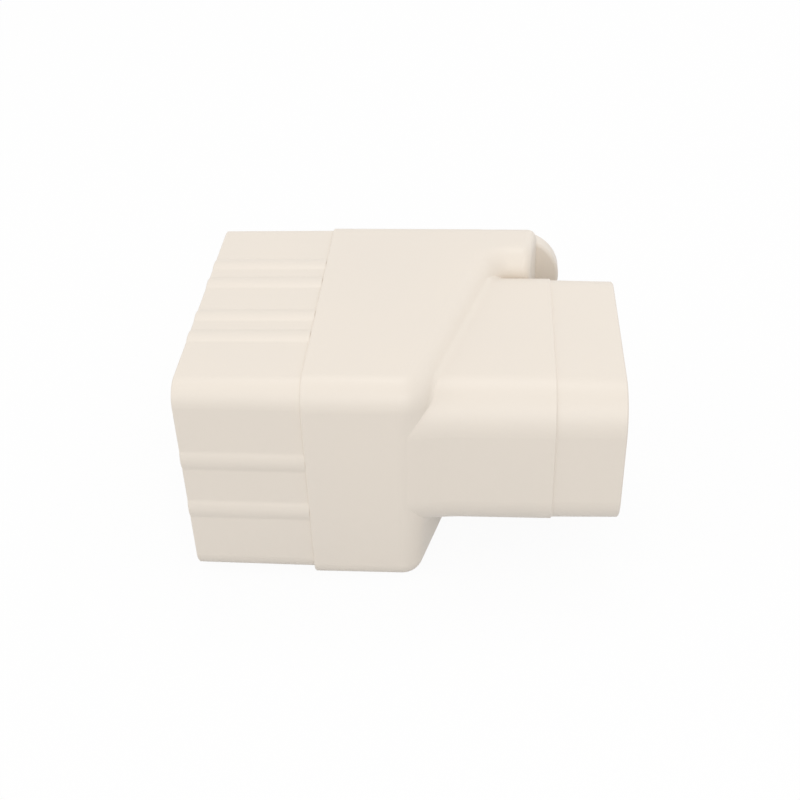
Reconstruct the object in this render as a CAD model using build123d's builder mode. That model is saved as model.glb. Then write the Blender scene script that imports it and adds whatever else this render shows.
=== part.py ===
from build123d import *
import os
from math import cos, radians, tan

# Downspout rain diverter, moulded in one piece.
# Water runs along +X, from the fluted inlet sleeve to the outlet spigot. The origin is the centre
# of the sleeve's mouth, and +Z is up with the diverter lying on its broad side.

# Inlet sleeve, which the downspout from above slides into
SLEEVE_WIDTH = 100.0
SLEEVE_HEIGHT = 71.9
SLEEVE_LENGTH = 37.5
SLEEVE_CORNER = 7.2
SLEEVE_WALL = 1.8
SLEEVE_DRAFT = 0.36  # each side stands this much further in at the mouth

# Broken edges of the rims and of the steps
EDGE_BREAK = 0.4

# Flutes raised along the sleeve, at these distances from the middle of each side
FLUTE_HEIGHT = 0.7
FLUTE_WIDTH = 6.5
FLUTE_BLEND = 3.0
WIDE_FLUTE_NEAR = 9.9
WIDE_FLUTE_FAR = 21.5
NARROW_FLUTE = 9.45

# Body, whose floor slopes towards the sump at the back and leans in towards the base
BODY_STEP = 0.8
BODY_WALL = 3.6
TOP_ROUND = 8.2
BASE_ROUND = 6.0
FLOOR_START = 73.7  # where the floor meets the front wall, at the top
FLOOR_SLOPE = 15.2
FLOOR_LEAN = 3.1
FLOOR_WALL = 3.0
SHOULDER_TOP = 10.7  # upright rounds at the ends of the floor, at the top and at the base
SHOULDER_BASE = 6.2

# Sump, the pocket that gathers the diverted water at the low end of the floor
SUMP_END = 107.9  # at the back
SUMP_END_LEAN = 8.0
SUMP_INSET = 0.05  # in from the body's top and back
SUMP_DEPTH = 24.8
SUMP_HEIGHT = 41.0
SUMP_BLEND = 5.0
SUMP_LEAD = 10.0  # length over which the sump's side leads out of the floor
SUMP_FLARE = 4.0
SUMP_END_ROUND = 3.0

# Outlet, set in the corner of the floor away from the sump, and the spigot at its end
OUTLET_WIDTH = 77.5
OUTLET_HEIGHT = 51.1
OUTLET_CORNER = 13.4
OUTLET_WALL = 2.6
OUTLET_FRONT_INSET = 2.15
OUTLET_TOP_INSET = 4.25
OUTLET_END = 111.2
OUTLET_BLEND = 3.0
RAMP_START = 66.2  # ramp from the body's front down to the outlet's
RAMP_LENGTH = 14.4
RAMP_SINK = 0.05
RAMP_BLEND = 58.0
SPIGOT_LENGTH = 20.2
SPIGOT_STEP = 0.5
SPIGOT_DRAFT = 0.32

# Weir, the outlet's wall carried up inside the body
WEIR_TOP = 50.0

# Hose port in the sump's back wall
PORT_X = 100.6
PORT_DROP = 20.05  # from the body's top to the port's axis
PORT_RADIUS = 14.85
PORT_BORE = 12.0
PORT_DEPTH = 4.4
PORT_COLLAR = 3.0
PORT_LENGTH = 6.4
PORT_ROUND = 1.2
PORT_SEAT = 1.5

BODY_WIDTH = SLEEVE_WIDTH + 2 * BODY_STEP
BODY_HEIGHT = SLEEVE_HEIGHT + 2 * BODY_STEP
BODY_TOP = BODY_HEIGHT / 2
BODY_BACK = BODY_WIDTH / 2
OUTLET_Y = OUTLET_WIDTH / 2 + OUTLET_FRONT_INSET - BODY_WIDTH / 2
OUTLET_Z = BODY_TOP - OUTLET_TOP_INSET - OUTLET_HEIGHT / 2
TOTAL_LENGTH = OUTLET_END + SPIGOT_LENGTH
WEIR_WIDTH = OUTLET_WIDTH + OUTLET_FRONT_INSET
WEIR_HEIGHT = OUTLET_HEIGHT + OUTLET_TOP_INSET
PORT_Z = BODY_TOP - PORT_DROP


def across(x, y=0.0, z=0.0):
    """Plane square to the flow, with its own axes along Y and Z."""
    return Plane(origin=(x, y, z), x_dir=(0, 1, 0), z_dir=(1, 0, 0))


def floor_x(y, z, inset):
    """Where the floor stands at a given depth and height, pulled in by a wall if asked."""
    slope = radians(FLOOR_SLOPE)
    lean = (BODY_TOP - z) * tan(radians(FLOOR_LEAN))
    return FLOOR_START + (y + BODY_BACK) * tan(slope) - lean - inset / cos(slope)


def fluted_section(width, height, corner):
    """Rounded rectangle with the flutes on all four sides, their feet blended."""
    crest = (FLUTE_WIDTH**2 / 4 + FLUTE_HEIGHT**2) / (2 * FLUTE_HEIGHT)
    RectangleRounded(width, height, corner)
    for side in (-1, 1):
        wide = side * (height / 2 + FLUTE_HEIGHT - crest)
        narrow = side * (width / 2 + FLUTE_HEIGHT - crest)
        for mirrored in (-1, 1):
            with Locations(
                (mirrored * WIDE_FLUTE_NEAR, wide),
                (mirrored * WIDE_FLUTE_FAR, wide),
                (narrow, mirrored * NARROW_FLUTE),
            ):
                Circle(crest)
    feet = [
        vertex
        for vertex in vertices()
        if abs(vertex.X) < width / 2 - corner - FLUTE_HEIGHT
        or abs(vertex.Y) < height / 2 - corner - FLUTE_HEIGHT
    ]
    fillet(feet, FLUTE_BLEND)


def body_form(wall, floor_wall):
    """Body with its sloping floor, pulled in by a wall: the outside, and then the hollow."""
    top = BODY_TOP - wall
    back = BODY_BACK - wall
    with BuildPart() as form:
        for z, shoulder in ((-top, SHOULDER_BASE), (top, SHOULDER_TOP)):
            with BuildSketch(Plane.XY.offset(z)):
                with BuildLine():
                    Polyline(
                        (SLEEVE_LENGTH, -back),
                        (floor_x(-back, z, floor_wall), -back),
                        (floor_x(back, z, floor_wall), back),
                        (SLEEVE_LENGTH, back),
                        close=True,
                    )
                plan = make_face()
                corners = plan.vertices().group_by(Axis.X)
                fillet(corners[1] + corners[2], shoulder - wall)
        loft(ruled=True)
        for side, edge_round in ((0, BASE_ROUND), (-1, TOP_ROUND)):
            rim = form.faces().sort_by(Axis.Z)[side].edges()
            fillet(rim - rim.group_by(Axis.X)[0], edge_round - wall)
    return form.part


def sump_form(wall, floor_wall, end_round):
    """Sump, from inside the body to its end, with its corner against the floor blended."""
    top = BODY_TOP - SUMP_INSET - wall
    back = BODY_BACK - SUMP_INSET - wall
    front = BODY_BACK - SUMP_DEPTH + wall
    bottom = BODY_TOP - SUMP_HEIGHT + wall
    flare = SUMP_LEAD * tan(radians(SUMP_FLARE))
    start = SLEEVE_LENGTH + TOP_ROUND
    end = SUMP_END - floor_wall
    end_lean = (back - front) * tan(radians(SUMP_END_LEAN))
    with BuildPart() as form:
        for z in (bottom, top):
            with BuildSketch(Plane.XY.offset(z)):
                with BuildLine():
                    Polyline(
                        (start, front - 2 * SUMP_LEAD),
                        (floor_x(front - 2 * SUMP_LEAD, z, floor_wall) - flare, front - 2 * SUMP_LEAD),
                        (floor_x(front, z, floor_wall) + flare, front),
                        (end - end_lean, front),
                        (end, back),
                        (start, back),
                        close=True,
                    )
                plan = make_face()
                fillet(plan.vertices().group_by(Axis.X)[2], SUMP_BLEND + wall)
        loft(ruled=True)
        rims = form.faces().filter_by(Axis.Z).edges()
        ends = rims.group_by(Axis.X)[0] + rims.group_by(Axis.X)[-1] + rims.group_by(Axis.Y)[0]
        fillet(rims - ends, TOP_ROUND - wall)
        if end_round > 0:
            fillet(form.faces().sort_by(Axis.X)[-1].edges(), end_round)
    return form.part


def ramp_form():
    """Ramp that leads the body's front down to the outlet's, with the outlet's own corners."""
    front = OUTLET_FRONT_INSET - BODY_BACK
    sunk = RAMP_SINK - BODY_BACK
    foot = RAMP_START + RAMP_LENGTH
    stop = (foot + OUTLET_END) / 2
    with BuildPart() as form:
        with BuildSketch(Plane.XY.offset(OUTLET_Z - OUTLET_HEIGHT / 2)):
            with BuildLine():
                Polyline(
                    (WEIR_TOP, OUTLET_Y),
                    (WEIR_TOP, sunk),
                    (RAMP_START, sunk),
                    (foot, front),
                    (stop, front),
                    (stop, OUTLET_Y),
                    close=True,
                )
            plan = make_face()
            corners = plan.vertices().group_by(Axis.X)
            fillet(corners[1] + corners[2], RAMP_BLEND)
        extrude(amount=OUTLET_HEIGHT)
        rims = form.faces().filter_by(Axis.Z).edges()
        fillet(rims - rims.filter_by(Axis.Y) - rims.group_by(Axis.Y)[-1], OUTLET_CORNER)
    return form.part


def outlet_section(x, inset=0.0):
    """Rounded outline of the outlet at a place along the flow, pulled in all round."""
    with BuildSketch(across(x, OUTLET_Y, OUTLET_Z)) as section:
        RectangleRounded(OUTLET_WIDTH - 2 * inset, OUTLET_HEIGHT - 2 * inset, OUTLET_CORNER - inset)
    return section.sketch


def sleeve_section(x, inset):
    """Fluted outline of the sleeve at a place along the flow, pulled in all round."""
    with BuildSketch(across(x)) as section:
        fluted_section(SLEEVE_WIDTH - 2 * inset, SLEEVE_HEIGHT - 2 * inset, SLEEVE_CORNER - inset)
    return section.sketch


# Hollow of the body and sump, with the weir left standing between the troughs and the way out
with BuildPart() as hollow:
    add(body_form(BODY_WALL, FLOOR_WALL))
    add(sump_form(BODY_WALL, FLOOR_WALL, 0.0))
    with BuildSketch(across(WEIR_TOP, WEIR_WIDTH / 2 - BODY_BACK, BODY_TOP - WEIR_HEIGHT / 2)) as weir:
        Rectangle(WEIR_WIDTH, WEIR_HEIGHT)
        fillet(weir.vertices().sort_by(Axis.X)[-2:].sort_by(Axis.Y)[0], OUTLET_CORNER)
    extrude(amount=SUMP_END - WEIR_TOP, mode=Mode.SUBTRACT)

# Round flange of the hose port, which stands out past the sump's end
PORT_PLANE = Plane(origin=(PORT_X, BODY_BACK + PORT_COLLAR, PORT_Z), x_dir=(1, 0, 0), z_dir=(0, 1, 0))
with BuildPart() as flange:
    with BuildSketch(PORT_PLANE):
        Circle(PORT_RADIUS)
    extrude(amount=-PORT_LENGTH)
    rims = flange.edges().filter_by(GeomType.CIRCLE).sort_by(Axis.Y)
    fillet(rims[0], PORT_ROUND)
    chamfer(rims[-1], EDGE_BREAK)

with BuildPart() as diverter:
    # Body, with the edge of its step down to the sleeve broken
    add(body_form(0.0, 0.0))
    chamfer(diverter.faces().sort_by(Axis.X)[0].edges(), EDGE_BREAK)

    # Outlet, standing out of the floor, with its corner at the floor blended
    extrude(outlet_section(WEIR_TOP), amount=OUTLET_END - WEIR_TOP)
    fillet(edges(Select.NEW), OUTLET_BLEND)
    chamfer(diverter.faces().sort_by(Axis.X)[-1].edges(), EDGE_BREAK)
    add(ramp_form())

    # Sump and the port's flange behind it
    add(sump_form(0.0, 0.0, SUMP_END_ROUND))
    add(flange.part)

    # Spigot, stepped in and drafted to enter the downspout below
    loft(
        [
            outlet_section(OUTLET_END, SPIGOT_STEP),
            outlet_section(TOTAL_LENGTH, SPIGOT_STEP + SPIGOT_DRAFT),
        ],
        ruled=True,
    )

    # Sleeve, and its inside, fluted like its outside and drafted the other way down to the stop
    loft([sleeve_section(0.0, SLEEVE_DRAFT), sleeve_section(SLEEVE_LENGTH, 0.0)], ruled=True)
    loft(
        [
            sleeve_section(0.0, SLEEVE_WALL),
            sleeve_section(SLEEVE_LENGTH, SLEEVE_WALL + SLEEVE_DRAFT),
        ],
        ruled=True,
        mode=Mode.SUBTRACT,
    )

    # Hollow, and the straight way out through weir, floor and spigot
    add(hollow.part, mode=Mode.SUBTRACT)
    extrude(outlet_section(WEIR_TOP, OUTLET_WALL), amount=TOTAL_LENGTH - WEIR_TOP, mode=Mode.SUBTRACT)

    # Port's socket from behind, and the window in its seat that drains the sump
    with BuildSketch(PORT_PLANE):
        Circle(PORT_BORE)
    extrude(amount=-PORT_DEPTH, mode=Mode.SUBTRACT)
    with BuildSketch(PORT_PLANE.offset(-PORT_DEPTH)):
        Circle(PORT_BORE - PORT_SEAT)
        with Locations((SUMP_END - FLOOR_WALL - PORT_X, 0)):
            Rectangle(2 * PORT_BORE, 2 * PORT_BORE, align=(Align.MAX, Align.CENTER), mode=Mode.INTERSECT)
    extrude(amount=PORT_DEPTH - PORT_COLLAR - BODY_WALL - EDGE_BREAK, mode=Mode.SUBTRACT)

    # Rims at the mouth and at the spigot's end
    chamfer(diverter.faces().sort_by(Axis.X)[-1].edges(), EDGE_BREAK)
    chamfer(diverter.faces().sort_by(Axis.X)[0].edges(), EDGE_BREAK)

diverter.part.label = "diverter_body"
os.makedirs("parts", exist_ok=True)
export_step(diverter.part, "parts/diverter_body.step")
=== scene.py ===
# %% [markdown]
# The downspout rain diverter arrives as a finished solid from the CAD model. On the real fitting
# everything is one moulding, so no piece has to be modelled again here: the lesson is about the
# camera, the finish of moulded plastic, and soft light on a pale object. The solid is loaded first,
# and its box is printed and kept, which also gives the height of the floor.

from math import cos, radians, sin

import bmesh
import bpy
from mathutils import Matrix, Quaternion, Vector


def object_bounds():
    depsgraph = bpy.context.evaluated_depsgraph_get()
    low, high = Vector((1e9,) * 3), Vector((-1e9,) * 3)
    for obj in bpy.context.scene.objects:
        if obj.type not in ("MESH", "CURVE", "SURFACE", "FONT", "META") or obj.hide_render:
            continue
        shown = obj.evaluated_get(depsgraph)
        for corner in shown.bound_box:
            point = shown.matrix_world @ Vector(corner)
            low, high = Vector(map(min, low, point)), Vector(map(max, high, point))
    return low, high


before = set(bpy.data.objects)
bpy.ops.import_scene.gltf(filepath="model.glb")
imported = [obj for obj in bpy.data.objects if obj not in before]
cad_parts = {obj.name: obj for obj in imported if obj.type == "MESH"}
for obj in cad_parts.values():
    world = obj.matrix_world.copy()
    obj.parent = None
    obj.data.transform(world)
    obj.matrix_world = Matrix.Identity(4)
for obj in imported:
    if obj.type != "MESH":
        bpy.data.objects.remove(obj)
cad_low, cad_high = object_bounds()
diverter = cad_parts["diverter_body"]
print("loaded", sorted(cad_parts), "box", [round(v, 4) for v in (*cad_low, *cad_high)])

# %% [markdown]
# The photograph was taken from in front of the broad side, a little to the right and well above. A
# camera could be turned by hand until it looks right. Here it gets the eye point and the aim that
# make the edges of the fitting fall where the photograph has them, with the slight roll that those
# edges ask for.

# %% Camera
EYE = Vector((0.09019, -0.32933, 0.23802))
AIM = Vector((0.06298, -0.01, 0.00397))
ROLL = -0.036
LENS = 55.25
SENSOR_WIDTH = 36.0

camera = bpy.data.objects.new("camera", bpy.data.cameras.new("camera"))
camera.data.sensor_fit = "HORIZONTAL"
camera.data.sensor_width = SENSOR_WIDTH
camera.data.lens = LENS
camera.data.clip_start = 0.01
camera.location = EYE
camera.rotation_mode = "QUATERNION"
camera.rotation_quaternion = (AIM - EYE).to_track_quat("-Z", "Y") @ Quaternion((0, 0, 1), ROLL)
bpy.context.collection.objects.link(camera)
bpy.context.scene.camera = camera
print("camera", round((AIM - EYE).length, 3), "m from its aim")

# %% [markdown]
# The fitting is ivory plastic as it comes from the mould. Four things keep such a surface from
# looking like flat paint: the pigment drifts by a hair over the part, the sheen changes along the
# way that the melt flowed, the walls sink slightly as they cool, and the steel of the mould leaves a
# fine grain. An unwrapped image could show them. Here each one is a noise on Object coordinates, so
# the grain has the same real size everywhere and needs no unwrapping.

# %% Helper for nodes
def add_node(tree, kind, label, **settings):
    """New node with a label, some properties and some input values."""
    node = tree.nodes.new(kind)
    node.label = label
    for name, value in settings.items():
        if hasattr(node, name):
            setattr(node, name, value)
        else:
            node.inputs[name.replace("_", " ")].default_value = value
    return node


def seen_directly(tree):
    """Socket that is 1 for rays of the camera, a gloss or glass, and 0 for the soft light."""
    rays = add_node(tree, "ShaderNodeLightPath", "which ray")
    shiny = add_node(tree, "ShaderNodeMath", "gloss or glass", operation="MAXIMUM")
    either = add_node(tree, "ShaderNodeMath", "camera, gloss or glass", operation="MAXIMUM")
    tree.links.new(rays.outputs["Is Glossy Ray"], shiny.inputs[0])
    tree.links.new(rays.outputs["Is Transmission Ray"], shiny.inputs[1])
    tree.links.new(rays.outputs["Is Camera Ray"], either.inputs[0])
    tree.links.new(shiny.outputs[0], either.inputs[1])
    return either.outputs[0]


# %% Ivory plastic
COOL_IVORY = (0.800, 0.735, 0.655, 1.0)
WARM_IVORY = (0.815, 0.745, 0.660, 1.0)
PLASTIC_IOR = 1.49
FLOW_STRETCH = (12.0, 90.0, 90.0)

ivory = bpy.data.materials.new("ivory_plastic")
ivory.use_nodes = True
tree = ivory.node_tree
link = tree.links.new
shader = tree.nodes["Principled BSDF"]
shader.inputs["IOR"].default_value = PLASTIC_IOR

place = add_node(tree, "ShaderNodeTexCoord", "place on the fitting")

pigment = add_node(tree, "ShaderNodeTexNoise", "drift of the pigment", Scale=22.0, Detail=3.0)
tint = add_node(tree, "ShaderNodeValToRGB", "ivory, cool to warm")
tint.color_ramp.elements[0].position = 0.3
tint.color_ramp.elements[0].color = COOL_IVORY
tint.color_ramp.elements[1].position = 0.7
tint.color_ramp.elements[1].color = WARM_IVORY
link(place.outputs["Object"], pigment.inputs["Vector"])
link(pigment.outputs["Fac"], tint.inputs["Fac"])
link(tint.outputs["Color"], shader.inputs["Base Color"])

along = add_node(tree, "ShaderNodeMapping", "drawn out along the flow")
along.inputs["Scale"].default_value = FLOW_STRETCH
streaks = add_node(tree, "ShaderNodeTexNoise", "streaks of the melt", Scale=1.0, Detail=4.0)
sheen = add_node(tree, "ShaderNodeMapRange", "sheen of the skin", To_Min=0.36, To_Max=0.50)
link(place.outputs["Object"], along.inputs["Vector"])
link(along.outputs["Vector"], streaks.inputs["Vector"])
link(streaks.outputs["Fac"], sheen.inputs["Value"])
link(sheen.outputs["Result"], shader.inputs["Roughness"])

grain = add_node(tree, "ShaderNodeTexNoise", "grain of the mould", Scale=2600.0, Detail=2.0)
sink = add_node(tree, "ShaderNodeTexNoise", "slight sinking of the walls", Scale=60.0, Detail=1.0)
fine = add_node(tree, "ShaderNodeBump", "grain", Strength=0.06, Distance=0.0002)
broad = add_node(tree, "ShaderNodeBump", "sinking", Strength=0.05, Distance=0.002)
link(place.outputs["Object"], grain.inputs["Vector"])
link(place.outputs["Object"], sink.inputs["Vector"])
link(sink.outputs["Fac"], broad.inputs["Height"])
link(grain.outputs["Fac"], fine.inputs["Height"])
link(broad.outputs["Normal"], fine.inputs["Normal"])
link(fine.outputs["Normal"], shader.inputs["Normal"])

for slot in diverter.material_slots:
    slot.material = ivory
print("ivory plastic on", len(diverter.material_slots), "slot of", diverter.name)

# %% [markdown]
# The photograph has a white background and hardly any shadow. A brighter lamp would burn out the
# pale plastic, so the floor is pale by itself: what the camera sees of it is mostly a plain white,
# and the rest is white paper that still takes the soft shadow under the fitting. For the light that
# goes back up to the fitting the floor is a middle grey, so that the lower faces stay a little darker.

# %% Floor
FLOOR_HALF_WIDTH = 4.0
FLOOR_GREY = (0.50, 0.50, 0.50, 1.0)
PAPER_WHITE = (0.90, 0.90, 0.90, 1.0)
SHARE_OF_WHITE = 0.94

floor_mesh = bpy.data.meshes.new("floor")
sheet = bmesh.new()
bmesh.ops.create_grid(sheet, x_segments=1, y_segments=1, size=FLOOR_HALF_WIDTH)
bmesh.ops.translate(sheet, vec=(0.0, 0.0, cad_low.z), verts=sheet.verts)
sheet.to_mesh(floor_mesh)
sheet.free()
floor = bpy.data.objects.new("floor", floor_mesh)
bpy.context.collection.objects.link(floor)

pale = bpy.data.materials.new("pale_floor")
pale.use_nodes = True
tree = pale.node_tree
link = tree.links.new
matt = tree.nodes["Principled BSDF"]
matt.inputs["Base Color"].default_value = FLOOR_GREY
matt.inputs["Roughness"].default_value = 0.9
white = add_node(tree, "ShaderNodeEmission", "white for the camera")
paper = add_node(tree, "ShaderNodeBsdfDiffuse", "paper that takes the shadow")
paper.inputs["Color"].default_value = PAPER_WHITE
shown = add_node(tree, "ShaderNodeMixShader", "white with a faint shadow", Fac=SHARE_OF_WHITE)
mixed = add_node(tree, "ShaderNodeMixShader", "floor")
link(paper.outputs["BSDF"], shown.inputs[1])
link(white.outputs["Emission"], shown.inputs[2])
link(seen_directly(tree), mixed.inputs[0])
link(matt.outputs["BSDF"], mixed.inputs[1])
link(shown.outputs["Shader"], mixed.inputs[2])
link(mixed.outputs["Shader"], tree.nodes["Material Output"].inputs["Surface"])
floor.data.materials.append(pale)
print("floor at", round(cad_low.z, 4))

# %% [markdown]
# A pale object shows its shape only by small steps of tone. Most of the light is a plain pale world,
# which leaves the corners soft and dark. A small lamp overhead, a little to the back, draws the narrow
# bright band where each round starts, because the skin mirrors it there. A large lamp in front lifts
# the front faces. A faint one from the left keeps the faces that look to the right a little darker, as
# in the photograph, and a faint one behind shows the hose port.

# %% World
WORLD_TINT = (1.0, 0.99, 0.98, 1.0)
WORLD_STRENGTH = 0.74

world = bpy.data.worlds.new("studio")
bpy.context.scene.world = world
world.use_nodes = True
tree = world.node_tree
link = tree.links.new
soft = tree.nodes["Background"]
soft.inputs["Color"].default_value = WORLD_TINT
soft.inputs["Strength"].default_value = WORLD_STRENGTH
seen = add_node(tree, "ShaderNodeBackground", "white for the camera")
seen.inputs["Color"].default_value = (1.0, 1.0, 1.0, 1.0)
seen.inputs["Strength"].default_value = 1.0
mixed = add_node(tree, "ShaderNodeMixShader", "studio")
link(seen_directly(tree), mixed.inputs[0])
link(soft.outputs["Background"], mixed.inputs[1])
link(seen.outputs["Background"], mixed.inputs[2])
link(mixed.outputs["Shader"], tree.nodes["World Output"].inputs["Surface"])
print("world strength", WORLD_STRENGTH)

# %% Lamps
LAMP_DISTANCE = 1.2


def softbox(name, bearing, elevation, size, power):
    """Square lamp turned to the fitting, so many degrees to the right of the front and up."""
    turn = radians(bearing)
    rise = radians(elevation)
    way = Vector((cos(rise) * sin(turn), -cos(rise) * cos(turn), sin(rise)))
    lamp = bpy.data.lights.new(name, "AREA")
    lamp.shape = "SQUARE"
    lamp.size = size
    lamp.energy = power
    holder = bpy.data.objects.new(name, lamp)
    holder.location = AIM + LAMP_DISTANCE * way
    holder.rotation_mode = "QUATERNION"
    holder.rotation_quaternion = (-way).to_track_quat("-Z", "Y")
    bpy.context.collection.objects.link(holder)
    print(name, power, "W at", [round(v, 2) for v in holder.location])


softbox("front_lamp", bearing=15, elevation=30, size=0.8, power=3.8)
softbox("left_lamp", bearing=-70, elevation=15, size=0.8, power=2.5)
softbox("top_lamp", bearing=180, elevation=70, size=0.4, power=2.0)
softbox("back_lamp", bearing=150, elevation=20, size=0.8, power=1.0)

# %% [markdown]
# Last comes the colour setting. The Standard view shows a colour as it is written. The finish lies
# on the solid itself, so no dimension of the fitting changes.

# %% Finish
bpy.context.scene.view_settings.view_transform = "Standard"
